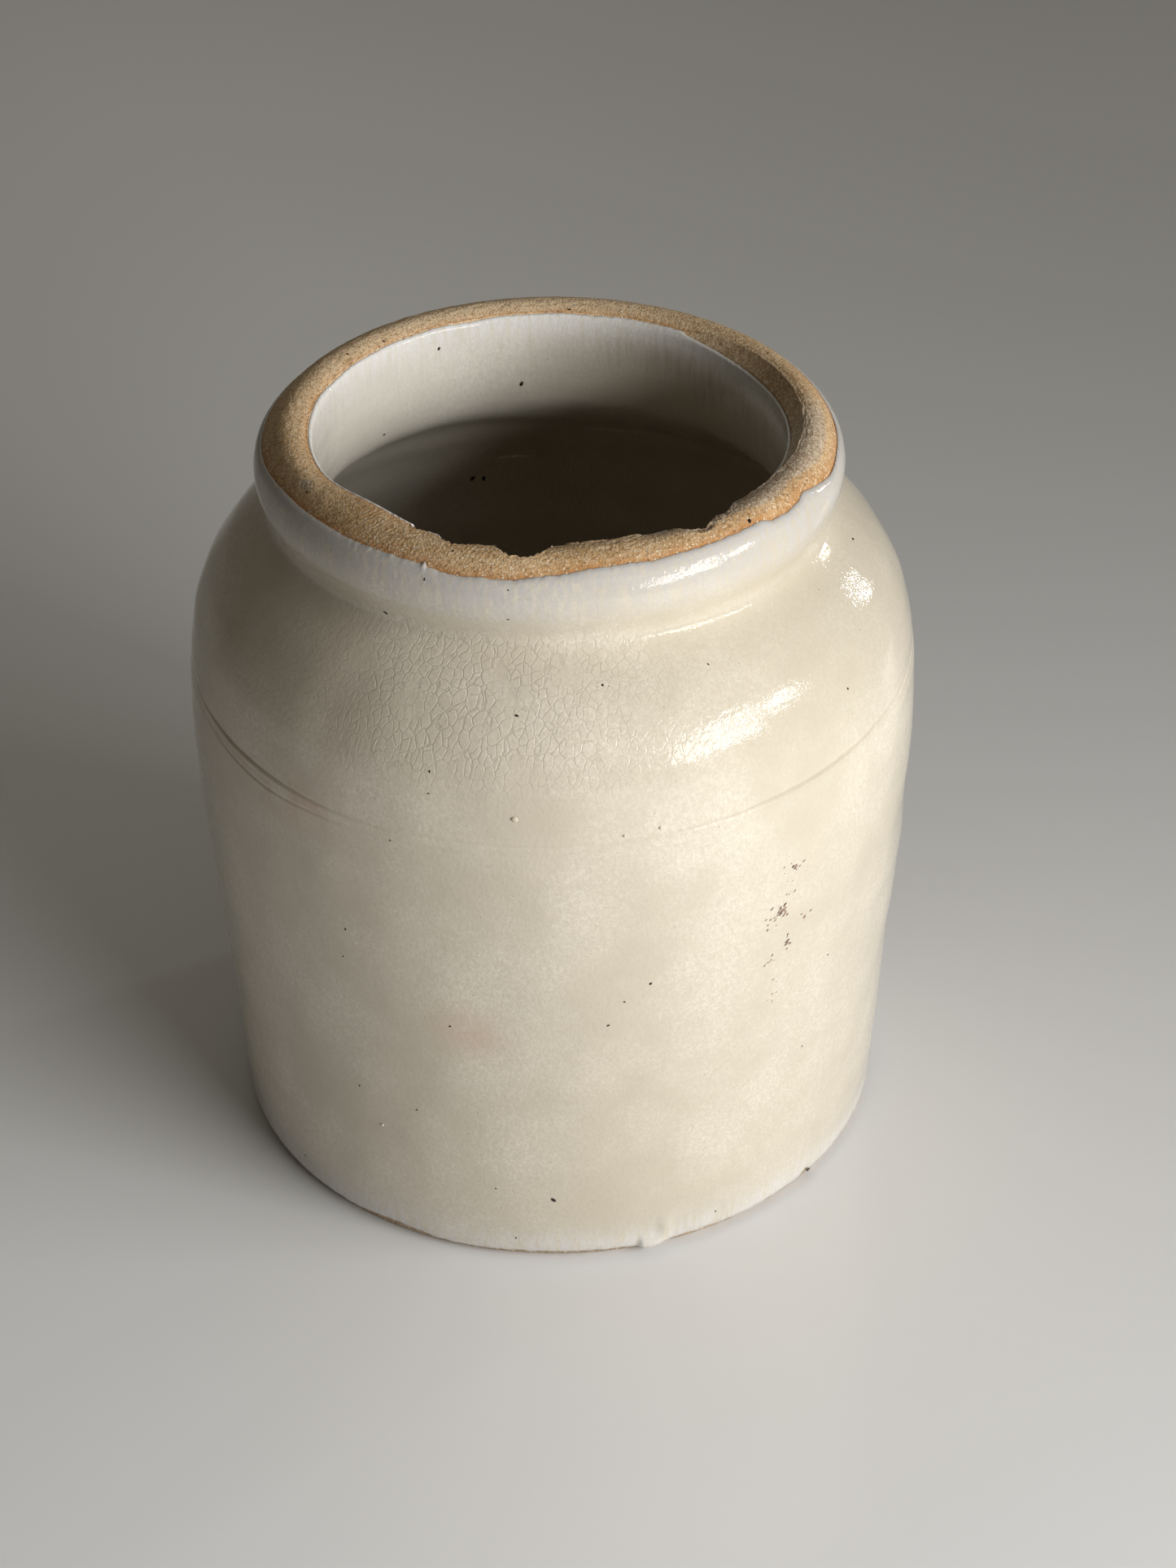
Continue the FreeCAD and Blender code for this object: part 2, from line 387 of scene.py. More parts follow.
def azimuth_steps():
    """Azimuths of the mesh columns, closer together on the broken side."""
    fine = np.linspace(-180.0, 180.0, 7201)
    low, high = BROKEN_SIDE
    dense = 1 + (CLOSER - 1) * smooth(fine, low - 6, low) * (1 - smooth(fine, high, high + 6))
    total = np.concatenate([[0.0], np.cumsum((dense[1:] + dense[:-1]) / 2)])
    wanted = np.arange(DIVISIONS) / DIVISIONS * total[-1]
    return np.interp(wanted, total, fine)


def waves(azimuth, seed, shortest, longest, count=12):
    """Periodic noise round the pot, about -1 to 1, with wavelengths in degrees."""
    chance = np.random.default_rng(seed)
    turns = np.exp(chance.uniform(np.log(FULL_TURN / longest), np.log(FULL_TURN / shortest), count))
    turns = np.maximum(1, np.round(turns))
    phases = chance.uniform(0, 2 * math.pi, count)
    angle = np.radians(azimuth)
    total = sum(np.sin(turn * angle + phase) for turn, phase in zip(turns, phases))
    return total / math.sqrt(count)


def ripples(azimuth, along, seed, size, count=24):
    """Noise over the surface, about -1 to 1, with features about size mm wide."""
    chance = np.random.default_rng(seed)
    heading = chance.uniform(0, math.pi, count)
    pitch = size * np.exp(chance.uniform(-0.4, 0.5, count))
    turns = np.round(np.cos(heading) * 2 * math.pi * BELLY / pitch)
    runs = np.sin(heading) * 2 * math.pi / pitch
    phases = chance.uniform(0, 2 * math.pi, count)
    angle = np.radians(azimuth)
    total = sum(np.sin(t * angle + r * along + p) for t, r, p in zip(turns, runs, phases))
    return total / math.sqrt(count)


# The clay's outline: underside, outside, rim, inside
UNDERSIDE = [
    (0.0, UNDERCUT),
    (FOOT * 0.45, UNDERCUT),
    (FOOT - 9.0, UNDERCUT * 0.8),
    (FOOT - 5.0, 0.1),
    (FOOT - 2.0, 0.05),
    (FOOT - 0.4, 0.5),
]
OUTSIDE = [
    (FOOT, FOOT_EDGE),
    (FOOT + 0.9, 8.5),
    (FOOT + 1.9, 21.0),
    (BELLY - 4.0, 38.0),
    (BELLY - 2.5, 58.0),
    (BELLY - 0.95, 78.0),
    (BELLY - 0.15, 95.0),
    (BELLY, 106.0),
    (BELLY - 0.9, HEIGHT - 51.0),
    (BELLY - 2.8, HEIGHT - 40.8),
    (BELLY - 5.9, HEIGHT - 34.0),
    (BELLY - 11.2, HEIGHT - 27.0),
    (GROOVE + 3.1, HEIGHT - 22.0),
    (GROOVE, GROOVE_HEIGHT),
    (BEAD - 1.2, BEAD_HEIGHT - 4.9),
    (BEAD, BEAD_HEIGHT),
    (BEAD - 1.2, HEIGHT - 4.4),
    RIM_LINE,
]
RIM = [
    (BEAD - 4.3, HEIGHT - 0.95),
    (BEAD - 6.8, HEIGHT),
    (BEAD - 9.5, HEIGHT - 0.35),
    LIP_LINE,
    (NECK, HEIGHT - 4.2),
]
INSIDE = [
    (NECK - 0.1, HEIGHT - 10.0),
    (NECK, HEIGHT - 20.5),
    (NECK + 1.2, HEIGHT - 24.3),
    (NECK + 4.6, HEIGHT - 27.8),
    (NECK + 10.8, HEIGHT - 33.2),
    (NECK + 16.4, HEIGHT - 40.5),
    (INNER - 1.2, HEIGHT - 50.0),
    (INNER, 109.0),
    (INNER - 0.6, 85.0),
    (INNER - 1.8, 60.0),
    (HEEL + 1.2, 38.0),
    (HEEL, 24.0),
    (HEEL - 2.2, 15.5),
    (HEEL - 6.2, 10.8),
    (HEEL - 12.0, FLOOR),
    (HEEL * 0.6, FLOOR - 0.1),
    (HEEL * 0.3, FLOOR),
    (0.0, FLOOR),
]
clay = Outline(UNDERSIDE + OUTSIDE + RIM + INSIDE)

AT_FOOT = clay.nearest(FOOT, FOOT_EDGE)
AT_RIM_LINE = clay.nearest(*RIM_LINE)
AT_CROWN = clay.nearest(BEAD - 6.8, HEIGHT)
AT_LIP = clay.nearest(*LIP_LINE, start=AT_CROWN)
AT_NECK_END = clay.nearest(NECK, HEIGHT - 20.5, start=AT_CROWN)
AT_END = float(clay.along[-1])
AZIMUTH = azimuth_steps()

# How far the clay's mesh is drawn back under the glaze, so that it never shows through
COVERED = 0.3


def outside_at(height):
    """Distance along the outline to a height on the outside."""
    part = (clay.along >= AT_FOOT) & (clay.along <= AT_RIM_LINE)
    return np.interp(height, clay.points[part, 1], clay.along[part])


def crown_at(radius):
    """Distance along the outline to a radius on the bare crown."""
    part = (clay.along >= AT_RIM_LINE) & (clay.along <= AT_LIP)
    return np.interp(-radius, -clay.points[part, 0], clay.along[part])


def inside_at(height):
    """Distance along the outline to a height inside."""
    part = clay.along >= AT_LIP
    return np.interp(-height, -clay.points[part, 1], clay.along[part])


def outer_shape(azimuth, along):
    """How far the outside of a thrown pot strays from a true turned shape."""
    shape = OVAL * np.cos(np.radians(2 * azimuth - OVAL_TURN)) + 0.15 * waves(azimuth, 3, 40, 120)
    height = clay.place(along)[1]
    body = smooth(height, 4, 20) * (1 - smooth(height, 140, 150))
    shape = shape * (0.4 + 0.6 * body)
    pitch, depth = THROWING
    throwing = depth * np.sin(2 * math.pi * (height / pitch - azimuth / FULL_TURN))
    throwing += 0.07 * ripples(azimuth, along, 11, 22)
    bumps = 0.0
    for out, centre, level, half, half_height in WALL_BUMPS:
        around = hill(turned_by(azimuth, centre), 0, half)
        bumps = bumps + out * around * hill(height, level, half_height)
    pitch, depth = NECK_LINES
    neck_lines = depth * np.sin(2 * math.pi * height / pitch) * smooth(height, 147, 150)
    neck_lines *= 1 - smooth(height, 160, 165)
    return shape + body * throwing + bumps + neck_lines


def inner_shape(azimuth, along):
    """Throwing rings inside, which climb in a spiral, and the button in the floor's middle."""
    radius, height = clay.place(along)
    below_neck = 1 - smooth(height, 142, 150)
    pitch, depth = INNER_RINGS
    climb = 2 * math.pi * (height / pitch - azimuth / FULL_TURN)
    spiral = np.sin(climb + 0.8 * waves(azimuth, 21, 60, 200))
    rings = depth * spiral * below_neck * smooth(height, 12, 22)
    pitch, depth = INNER_NECK_LINES
    neck = depth * np.sin(2 * math.pi * height / pitch) * smooth(height, 146, 150)
    neck *= 1 - smooth(height, 163, 166)
    floor = 1 - smooth(height, 10, 16)
    pitch, depth = FLOOR_COIL
    coil = depth * np.sin(2 * math.pi * (radius / pitch - azimuth / FULL_TURN)) * floor
    half, rise = BUTTON
    button = rise * hill(radius, 0, half) * floor
    uneven = 0.12 * ripples(azimuth, along, 31, 30) * (1 - smooth(height, 160, 166))
    lean = lip_lean(azimuth, along)
    return rings + neck + coil * smooth(radius, 0, 8) + button + uneven + lean


def lip_lean(azimuth, along):
    """How far the lip leans in over the neck, or out."""
    lean = 0.0
    for centre, half, depth, below, reach in LIP_LEANS:
        across = hill(turned_by(azimuth, centre), 0, half)
        lean = lean + depth * across * hill(along, AT_LIP + below, reach)
    return lean


def break_at(azimuth):
    """The broken lip by azimuth: reach over the crown, run down the neck, shelf run and drop."""
    best = np.zeros((4,) + np.shape(azimuth))
    for centre, half, *sizes in SCALLOPS:
        across = np.clip(1 - np.abs(turned_by(azimuth, centre) / half) ** 2.4, 0.0, 1.0)
        piece = np.array(sizes)[:, None] * across
        best = np.where(piece[0] > best[0], piece, best)
    ragged = smooth(best[0], 0.2, 1.5)
    ragged = ragged * (1 - 0.7 * smooth(azimuth, *WORN_FROM))
    best[0] += ragged * (0.16 * waves(azimuth, 41, 1.1, 3.0) + 0.12 * waves(azimuth, 42, 3.0, 9.0))
    best[1] += ragged * (0.35 * waves(azimuth, 43, 1.5, 5.0))
    return np.maximum(best, 0.0)


def rim_line_shift(azimuth):
    """How far the outer glaze's upper edge wanders along the outline from its usual place."""
    shift = 0.12 * waves(azimuth, 51, 15, 60) + 0.07 * waves(azimuth, 52, 1.6, 5, 16)
    for up, *span in RIM_LINE_STEPS:
        shift = shift + up * plateau(azimuth, *span)
    return shift + bumps_at(azimuth, RIM_LINE_BUMPS)


def bumps_at(azimuth, bumps):
    """Sum of smooth bumps by azimuth: (how far up, azimuth, half width) for each."""
    return sum(up * hill(turned_by(azimuth, centre), 0, half) for up, centre, half in bumps)


def lip_line_shift(azimuth):
    """How far the liner's upper edge wanders: positive is down the neck."""
    shift = 0.12 * waves(azimuth, 61, 15, 60) + 0.06 * waves(azimuth, 62, 1.6, 5, 16)
    return shift - 0.2 * hill(turned_by(azimuth, -52), 0, 30)


def foot_line_shift(azimuth):
    """How far the outer glaze's lower edge wanders: positive is up the wall."""
    shift = 0.35 + 0.16 * waves(azimuth, 71, 12, 70) + 0.10 * waves(azimuth, 72, 2, 6, 16)
    return shift + bumps_at(azimuth, FOOT_LINE_BUMPS)


def mesh_piece(name, columns, closed, values, shader, node, crease=None):
    """A closed mesh from rows of points round the pot, with smooth faces and values per point."""
    rows, count = columns.shape[:2]
    points = columns.reshape(-1, 3)
    ring = np.arange(count)
    nxt = (ring + 1) % count
    faces = []
    for row in range(rows if closed else rows - 1):
        low = row * count
        high = ((row + 1) % rows) * count
        faces += np.stack([low + ring, low + nxt, high + nxt, high + ring], axis=1).tolist()
    caps = []
    if not closed:
        for row, turn in ((0, 1), (rows - 1, -1)):
            centre = len(points) + len(caps)
            caps.append(columns[row].mean(axis=0))
            edge = row * count
            pairs = np.stack([edge + ring, edge + nxt][::turn], axis=1)
            faces += [[centre, int(b), int(a)] for a, b in pairs]
        points = np.concatenate([points, np.array(caps)])
    mesh = bpy.data.meshes.new(name)
    mesh.from_pydata((points * MM).tolist(), [], faces)
    mesh.update()
    mesh.polygons.foreach_set("use_smooth", [True] * len(mesh.polygons))
    if crease:
        mesh.set_sharp_from_angle(angle=math.radians(crease))
    for label, grid in values.items():
        attribute = mesh.attributes.new(label, "FLOAT", "POINT")
        flat = np.concatenate([grid.ravel(), np.zeros(len(caps))])
        attribute.data.foreach_set("value", flat.astype(np.float32))
    piece = bpy.data.objects.new(name, mesh)
    bpy.context.scene.collection.objects.link(piece)
    mesh.materials.append(shader)
    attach(piece, "root")
    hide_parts(node)
    return piece


def spun(radius, height):
    """Points in space from radii and heights by row and azimuth column."""
    angle = np.radians(AZIMUTH)[None, :]
    return np.stack([radius * np.sin(angle), -radius * np.cos(angle), height + 0 * angle], axis=2)


def stations(*spans):
    """Distances along an outline: each span is (start, end, how many)."""
    parts = [np.linspace(start, end, count, endpoint=False) for start, end, count in spans]
    return np.concatenate(parts + [[spans[-1][1]]])


# ---------------------------------------------------------------------------- materials


class Shader:
    """Builds a material's node tree; lengths are in millimetres."""

    def __init__(self, name):
        self.material = bpy.data.materials.new(name)
        self.material.use_nodes = True
        self.tree = self.material.node_tree
        self.tree.nodes.clear()
        self.surface = self.node("BsdfPrincipled")
        output = self.node("OutputMaterial")
        self.tree.links.new(self.surface.outputs[0], output.inputs[0])
        place = self.node("TexCoord").outputs["Object"]
        self.place = self.vector("SCALE", place, scale=1 / MM)
        self.height = self.node("SeparateXYZ", {0: self.place}).outputs[2]
        self.normal = None

    def node(self, kind, inputs=None, **settings):
        made = self.tree.nodes.new("ShaderNode" + kind)
        for key, value in settings.items():
            setattr(made, key, value)
        for key, value in (inputs or {}).items():
            self.feed(made.inputs[key], value)
        return made

    def feed(self, socket, value):
        """Links an output to a socket, or sets the socket's own value."""
        if isinstance(value, bpy.types.NodeSocket):
            self.tree.links.new(value, socket)
        else:
            socket.default_value = value

    def vector(self, operation, first, second=None, scale=None):
        made = self.node("VectorMath", {0: first}, operation=operation)
        if second is not None:
            self.feed(made.inputs[1], second)
        if scale is not None:
            made.inputs["Scale"].default_value = scale
        return made.outputs[0]

    def math(self, operation, first, second):
        made = self.node("Math", {0: first, 1: second}, operation=operation)
        return made.outputs[0]

    def fade(self, value, low, high):
        """0 at low and 1 at high, smoothly; high may be below low."""
        inputs = {"Value": value, "From Min": low, "From Max": high}
        return self.node("MapRange", inputs, interpolation_type="SMOOTHSTEP").outputs[0]

    def between(self, value, low, high):
        """low where the value is 0, high where it is 1."""
        return self.node("MapRange", {"Value": value, "To Min": low, "To Max": high}).outputs[0]

    def noise(self, size, detail=3.0, roughness=0.55, stretch=(1, 1, 1)):
        """Noise from 0 to 1 with features about size mm wide."""
        place = self.vector("MULTIPLY", self.place, second=tuple(1 / (size * s) for s in stretch))
        inputs = {"Vector": place, "Scale": 1.0, "Detail": detail, "Roughness": roughness}
        return self.node("TexNoise", inputs).outputs[0]

    def cells(self, size, stretch=(1, 1, 1), feature="F1", wobble=0.0, output="Distance", tilt=0):
        """Voronoi cells about size mm wide, tilted by some degrees when seen from the front."""
        place = self.place
        if tilt:
            turn = {"Vector": place, "Angle": math.radians(tilt)}
            place = self.node("VectorRotate", turn, rotation_type="Y_AXIS").outputs[0]
        place = self.vector("MULTIPLY", place, second=tuple(1 / (size * s) for s in stretch))
        if wobble:
            inputs = {"Vector": place, "Scale": 1.3, "Detail": 2.0}
            drift = self.node("TexNoise", inputs).outputs["Color"]
            drift = self.vector("SUBTRACT", drift, second=(0.5, 0.5, 0.5))
            place = self.vector("ADD", place, second=self.vector("SCALE", drift, scale=wobble))
        made = self.node("TexVoronoi", {"Vector": place, "Scale": 1.0}, feature=feature)
        return made.outputs[output]

    def value(self, label):
        """A value that the mesh carries."""
        return self.node("Attribute", attribute_name=label).outputs["Fac"]

    def mix(self, factor, first, second):
        """The first colour where the factor is 0, the second where it is 1."""
        made = self.node("Mix", data_type="RGBA")
        self.feed(made.inputs[0], factor)
        for socket, colour in ((made.inputs[6], first), (made.inputs[7], second)):
            is_link = isinstance(colour, bpy.types.NodeSocket)
            self.feed(socket, colour if is_link else (*colour, 1.0))
        return made.outputs[2]

    def times(self, *factors):
        total = factors[0]
        for factor in factors[1:]:
            total = self.math("MULTIPLY", total, factor)
        return total

    def bump(self, height, depth):
        """Adds relief, where a height of 1 stands depth mm out of a height of 0."""
        inputs = {"Height": height, "Strength": 1.0, "Distance": abs(depth) * MM}
        if self.normal is not None:
            inputs["Normal"] = self.normal
        self.normal = self.node("Bump", inputs, invert=depth < 0).outputs[0]

    def finish(self, colour, roughness, ior, specular=0.5):
        """The finished material."""
        self.feed(self.surface.inputs["Base Color"], colour)
        self.feed(self.surface.inputs["Roughness"], roughness)
        self.surface.inputs["IOR"].default_value = ior
        self.surface.inputs["Specular IOR Level"].default_value = specular
        if self.normal is not None:
            self.feed(self.surface.inputs["Normal"], self.normal)
        return self.material


def bare_clay():
    """Sandy stoneware: tan, with quartz grains, pits, orange halos and greyed wear; painted light
    makes it paler towards the back, and painted shade darkens the pits and part of the break's
    colour.
    """
    shader = Shader("bare_stoneware")
    halo = shader.value("halo")
    worn = shader.value("worn")
    broken = shader.value("broken")
    pale = shader.value("pale")
    broad = shader.noise(14, 4)
    fine = shader.noise(1.6, 3)
    sand = shader.noise(0.8, 2, 0.6)
    tan = shader.mix(shader.fade(broad, 0.35, 0.65), *TAN)
    tan = shader.mix(shader.times(shader.fade(fine, 0.35, 0.7), 0.5), tan, SANDY)
    # Painted light: paler towards the back and the left
    tan = shader.mix(shader.times(pale, 0.8), tan, PAINTED_LIGHT_CLAY)
    grey = shader.mix(shader.fade(fine, 0.3, 0.7), *WORN_GREY)
    patchy = shader.fade(shader.math("ADD", worn, shader.math("MULTIPLY", broad, 0.5)), 0.55, 1.05)
    tan = shader.mix(shader.times(patchy, 0.75), tan, grey)
    # The break, and the clay at the foot, take a colour that is partly the clay's own and partly
    # painted shade
    fracture_and_shade = shader.mix(shader.fade(fine, 0.3, 0.7), *FRACTURE_AND_SHADE)
    tan = shader.mix(shader.times(broken, 0.85), tan, fracture_and_shade)
    edge = shader.times(halo, shader.fade(shader.noise(3.0, 3), 0.2, 0.5))
    tan = shader.mix(shader.times(edge, 0.95), tan, SCORCHED)
    tan = shader.mix(shader.times(shader.fade(sand, 0.52, 0.36), 0.45), tan, DIMPLES)
    grain = shader.cells(SAND)
    grains = shader.node("SeparateXYZ", {0: shader.cells(SAND, output="Color")}).outputs
    light = shader.times(shader.fade(grains[0], 0.55, 0.85), shader.fade(grain, 0.55, 0.3))
    dark = shader.times(shader.fade(grains[1], 0.82, 0.94), shader.fade(grain, 0.55, 0.3))
    tan = shader.mix(shader.times(light, 0.85), tan, QUARTZ)
    tan = shader.mix(shader.times(dark, 0.7), tan, DARK_GRAIN)
    # Pits: near black painted shade, set in small hollows
    spots = shader.node("SeparateXYZ", {0: shader.cells(PIT_SPACING, output="Color")}).outputs[0]
    middle = shader.fade(shader.cells(PIT_SPACING), 0.10, 0.07)
    spot = shader.times(shader.fade(spots, 0.94, 0.96), middle)
    tan = shader.mix(spot, tan, PIT_SHADE)
    shader.bump(shader.noise(2.2, 3), 0.10)
    shader.bump(shader.noise(0.55, 3, 0.7), 0.06)
    shader.bump(grain, -0.09)
    shader.bump(spot, -0.2)
    rough = shader.between(light, *CLAY_ROUGHNESS)
    return shader.finish(tan, rough, CLAY_IOR, 0.35)


def glaze(name, cream, deep, blush_and_shade, rim_milk, patchy):
    """Cream glaze: mottled, bluish-white near its edges, crazed, scored, dull in places; its blush
    colour is a pink blush on the outer coat and painted shade in the liner, and painted shade darkens
    the right of the shoulder.
    """
    shader = Shader(name)
    edge = shader.value("thick")
    crazed = shader.value("crazed")
    warm = shader.value("blush_and_shade")
    broad = shader.noise(26, 3)
    cloud = shader.noise(7, 4)
    base = shader.mix(shader.fade(broad, 0.3, 0.7), cream, deep)
    base = shader.mix(shader.times(shader.fade(cloud, 0.45, 0.75), 0.35), base, CLOUDED)
    grain = shader.fade(shader.noise(0.5, 1, 0.5), 0.36, 0.64)
    mottle = shader.fade(shader.noise(1.2, 2, 0.6), 0.36, 0.64)
    base = shader.mix(shader.times(grain, 0.55), base, deep)
    base = shader.mix(shader.times(mottle, 0.45), base, deep)
    # Blush: a real pink blush on the outer coat; in the liner this is painted shade, dark brown
    blush_and_shade_patches = shader.times(warm, shader.fade(shader.noise(11, 3), *patchy))
    base = shader.mix(shader.times(blush_and_shade_patches, 0.75), base, blush_and_shade)
    # Painted shade: darker over the right of the shoulder
    base = shader.mix(shader.times(shader.value("painted_shoulder_shade"), 0.5), base, PAINTED_SHOULDER_SHADE)
    streaks = shader.noise(1.1, 3, stretch=(1, 1, 8))
    milk = shader.times(edge, shader.fade(streaks, 0.22, 0.62))
    milky = shader.mix(shader.fade(shader.height, 20, 140), FOOT_MILK, rim_milk)
    base = shader.mix(shader.times(milk, 0.9), base, milky)
    bare = shader.times(edge, shader.fade(shader.noise(0.8, 2, 0.6, (1, 1, 5)), 0.52, 0.72))
    base = shader.mix(shader.times(bare, 0.45), base, deep)
    cracks = shader.cells(1.9, (1, 1, 1.9), "DISTANCE_TO_EDGE", wobble=0.5, tilt=CRAZE_TILT)
    patches = shader.times(crazed, shader.fade(shader.noise(6, 3), 0.28, 0.5))
    line = shader.times(shader.fade(cracks, 0.06, 0.015), patches)
    hair = shader.cells(1.3, (1, 1, 1.4), "DISTANCE_TO_EDGE", wobble=0.3)
    hairline = shader.times(shader.fade(hair, 0.08, 0.02), 0.07)
    base = shader.mix(shader.times(line, 0.22), base, CRACK)
    base = shader.mix(hairline, base, HAIRLINE)
    base = shader.mix(shader.times(shader.value("scored"), 0.45), base, SCORED)
    dots = shader.node("SeparateXYZ", {0: shader.cells(PEPPER_SPACING, output="Color")}).outputs[0]
    middle = shader.fade(shader.cells(PEPPER_SPACING), 0.085, 0.05)
    dot = shader.times(shader.fade(dots, 0.90, 0.93), middle)
    base = shader.mix(shader.times(dot, 0.6), base, PEPPER)
    shader.bump(shader.noise(9, 2), 0.08)
    shader.bump(shader.noise(0.95, 2, 0.6, (1, 1, 1.3)), 0.06)
    shader.bump(shader.noise(0.8, 2, 0.5, (12, 12, 1)), 0.025)
    shader.bump(shader.times(shader.fade(cracks, 0.0, 0.10), patches), 0.048)
    rough = shader.between(cloud, *GLAZE_ROUGHNESS)
    rough = shader.math("ADD", rough, shader.value("dull"))
    return shader.finish(base, rough, GLAZE_IOR)


def iron():
    """Iron specks burnt through the glaze: near black, blistered, with rusty edges."""
    shader = Shader("iron_speck")
    mottled = shader.fade(shader.noise(0.3, 3), 0.35, 0.7)
    colour = shader.mix(mottled, *IRON)
    shader.bump(shader.noise(0.2, 2), 0.03)
    return shader.finish(colour, 0.3, CLAY_IOR)


def rust():
    """Thin rusty flecks under the glaze."""
    shader = Shader("rust_fleck")
    mottled = shader.fade(shader.noise(1.3, 3), 0.38, 0.62)
    colour = shader.mix(mottled, *RUST)
    shader.bump(shader.noise(0.3, 2), 0.02)
    return shader.finish(colour, 0.12, GLAZE_IOR)


# ---------------------------------------------------------------------------- the pieces


def clay_piece(shader):
    """The clay body, bare at the crown, in the break and at the foot."""
    reach, run, shelf, drop = break_at(AZIMUTH)
    reach = np.maximum(reach, LEAST_BREAK)
    run = np.maximum(run, LEAST_BREAK)
    break_start = AT_LIP - reach
    break_end = AT_LIP + run
    under = stations((0.0, AT_FOOT - 3.0, 10), (AT_FOOT - 3.0, AT_FOOT + 5.0, 12))
    shoulder = clay.nearest(GROOVE, GROOVE_HEIGHT) - 15.0
    wall = stations((AT_FOOT + 5.0, shoulder, 14), (shoulder, AT_RIM_LINE - 2.5, 26))[1:]
    outer = np.concatenate([under, wall])[:, None] + 0 * AZIMUTH
    rise = stations((0.0, 1.0, 30))[1:, None]
    crown = outer[-1] + rise * (break_start - outer[-1])
    neck = break_end + stations((0.0, 1.0, 9))[1:, None] * (AT_NECK_END - break_end)
    inside = stations((AT_NECK_END, AT_END - 1.0, 34))[1:, None] + 0 * AZIMUTH
    along = np.concatenate([outer, crown])
    bare = smooth(along, AT_RIM_LINE - 3.0, AT_RIM_LINE - 1.0)
    foot = 1 - smooth(along, AT_FOOT + 1.5, AT_FOOT + 4.0)
    under_glaze = COVERED * (1 - np.maximum(bare, foot))
    shape = outer_shape(AZIMUTH, along) * (1 - smooth(along, AT_RIM_LINE + 1, AT_CROWN))
    radius, height = clay.place(along, shape - under_glaze + lip_lean(AZIMUTH, along))
    share = stations((0.0, 1.0, 22))[1:-1, None]
    across = break_start + share * (break_end - break_start)
    intact_r, intact_z = clay.place(across, lip_lean(AZIMUTH, across))
    start_r, start_z = clay.place(break_start, lip_lean(AZIMUTH, break_start))
    end_r, end_z = clay.place(break_end, lip_lean(AZIMUTH, break_end))
    knee_r = start_r - shelf
    knee_z = start_z - drop
    first = np.clip(share / BREAK_KNEE, 0, 1)
    second = np.clip((share - BREAK_KNEE) / (1 - BREAK_KNEE), 0, 1)
    cut_r = start_r + first * (knee_r - start_r) + second * (end_r - knee_r)
    cut_z = start_z + first * (knee_z - start_z) + second * (end_z - knee_z)
    hollow = BREAK_HOLLOW * np.sin(math.pi * second)
    rough = 0.22 * ripples(AZIMUTH, share * 9, 81, 1.8) + 0.18 * ripples(AZIMUTH, share * 9, 82, 4)
    size = smooth(reach, 0.4, 1.6)
    chip = hill(turned_by(AZIMUTH, SHARP_CHIP[0]), 0, SHARP_CHIP[1])
    worn_smooth = smooth(AZIMUTH, *WORN_FROM)
    harsh = 1 - worn_smooth * (0.75 - 0.5 * chip)
    inward = rough * np.sin(math.pi * share) ** 0.5 - hollow * smooth(reach, 0.8, 3)
    inward = inward * harsh
    cut_r = cut_r - 0.55 * inward
    cut_z = cut_z + 0.8 * inward
    broken_r = intact_r + size * (cut_r - intact_r)
    broken_z = intact_z + size * (cut_z - intact_z)
    tail = np.concatenate([neck, inside])
    buried = COVERED * smooth(tail, break_end + 0.5, break_end + 2.5)
    tail_r, tail_z = clay.place(tail, inner_shape(AZIMUTH, tail) - buried)
    radius = np.concatenate([radius, broken_r, tail_r])
    height = np.concatenate([height, broken_z, tail_z])
    grit = 0.05 * ripples(AZIMUTH, np.arange(len(radius))[:, None] * 0.4, 91, 1.3)
    rim = np.concatenate([along > AT_RIM_LINE - 1, share + 0 * AZIMUTH > 0, tail < 0])
    height = np.maximum(height + grit * rim, 0.0)
    placed = np.concatenate([along, break_start + share * 4, tail])
    from_outer = placed - AT_RIM_LINE - rim_line_shift(AZIMUTH)
    from_inner = AT_LIP + lip_line_shift(AZIMUTH) - placed
    intact = 1 - size
    orange = 1.2 + 0.7 * hill(turned_by(AZIMUTH, 62), 0, 30)
    halo = np.exp(-np.abs(from_outer) / orange) + intact * np.exp(-np.abs(from_inner) / 0.8)
    at_foot = 0.9 * (1 - smooth(along, AT_FOOT + 3, AT_FOOT + 6))
    # Partly painted shade: the break keeps its darker colour where it is sharp and in the sharp
    # chip's hollow, less where it is worn
    fresh_break_and_chip_shade = size * (1 - 0.65 * worn_smooth * (1 - chip))
    broken = np.concatenate([at_foot, fresh_break_and_chip_shade * smooth(share, 0, 0.08), 0 * tail])
    side = hill(turned_by(AZIMUTH, 62), 0, 75)
    worn = side * smooth(from_outer, 2.0, 5.0)
    bruised = hill(turned_by(AZIMUTH, BRUISE[0]), 0, BRUISE_SIZE[0])
    worn += 1.5 * bruised * hill(from_outer, BRUISE[1], BRUISE_SIZE[1])
    # Painted light: paler over the back, most at the back-left
    pale = hill(turned_by(AZIMUTH, -165), 0, 100) + 0 * from_outer
    values = {"halo": halo, "broken": broken, "worn": worn, "pale": pale}
    return mesh_piece(
        "clay", spun(radius, height), False, values, shader, "clay_body", 40
    )


def coat_thickness(from_low, from_high):
    """Glaze thickness by distance from the coat's two edges, rounded where it stops."""
    near = np.minimum(from_low, from_high)
    rounding = np.clip(1 - (1 - np.clip(near / EDGE_ROUND, 0, 1)) ** 2, 0, 1) ** 0.75
    roll = ROLL * swell(from_high, *ROLL_PLACE)
    pooled = POOL * swell(from_low, *POOL_PLACE)
    return (GLAZE - 0.05 + roll + pooled) * rounding - EDGE_BURIED * (1 - rounding)


